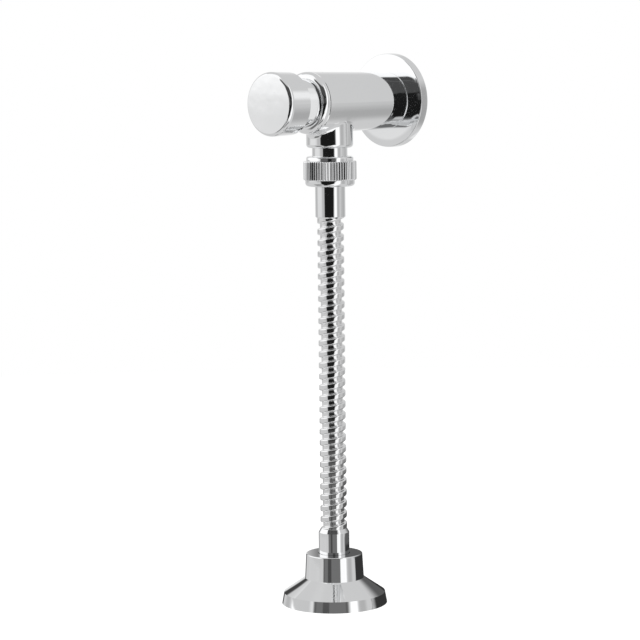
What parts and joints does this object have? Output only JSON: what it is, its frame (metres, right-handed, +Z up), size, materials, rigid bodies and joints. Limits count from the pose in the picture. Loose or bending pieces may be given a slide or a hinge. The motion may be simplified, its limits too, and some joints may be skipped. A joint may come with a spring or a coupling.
{
  "type": "urinal flush valve",
  "caption": "Chromed push-button self-closing urinal valve with wall flange, knurled union nut, corrugated riser tube and bell escutcheon.",
  "frame": {"origin": "point where the valve axis meets the wall plane, at the back of the flange", "axes": "+Z up, -Y out of the wall towards the user, along the valve axis"},
  "size_m": [0.0632, 0.1212, 0.33],
  "materials": {
    "chrome": "polished chrome plate on brass",
    "bright_steel": "bright corrugated stainless tube",
    "spring_steel": "drawn stainless steel",
    "brass": "machined, unplated",
    "acetal": "natural acetal",
    "rubber": "moulded nitrile rubber",
    "foam_rubber": "closed-cell foam",
    "fibre": "pressed fibre"
  },
  "bodies": {
    "valve": {"valve_body": "chrome", "wall_flange": "chrome", "flange_seal": "foam_rubber", "inlet_nipple": "brass", "inlet_strainer": "spring_steel", "seat_insert": "brass", "cartridge_sleeve": "acetal", "cartridge_o_ring": "rubber", "bonnet_collar": "chrome", "bonnet_gasket": "fibre", "spindle_seal": "rubber", "return_spring": "spring_steel"},
    "button": {"push_button": "chrome", "plunger": "chrome", "spindle": "spring_steel", "spindle_lock_nut": "brass", "dashpot_piston": "acetal", "cup_seal": "rubber", "seat_seal": "rubber", "poppet_disc": "brass", "poppet_nut": "brass"},
    "union_nut": {"coupling_nut": "chrome"},
    "riser": {"hose_washer": "fibre", "upper_ferrule": "chrome", "corrugated_tube": "bright_steel", "lower_ferrule": "chrome", "spud_seal": "rubber"},
    "bell": {"spud_bell": "chrome", "bell_o_ring": "rubber"}
  },
  "joints": [
    {"name": "button_press", "type": "slide", "parent": "valve", "child": "button", "axis": [0, 1, 0], "range_m": [0, 0.008], "stiffness_N_per_m": 500, "springref_m": -0.025, "deforming": ["return_spring"]},
    {"name": "nut_spin", "type": "hinge", "parent": "valve", "child": "union_nut", "pos_m": [0, -0.0556, -0.045], "axis": [0, 0, 1], "continuous": true},
    {"name": "riser_swivel", "type": "hinge", "parent": "valve", "child": "riser", "pos_m": [0, -0.0556, -0.045], "axis": [0, 0, 1], "continuous": true},
    {"name": "bell_slide", "type": "slide", "parent": "riser", "child": "bell", "axis": [0, 0, 1], "range_m": [0, 0.2]}
  ]
}
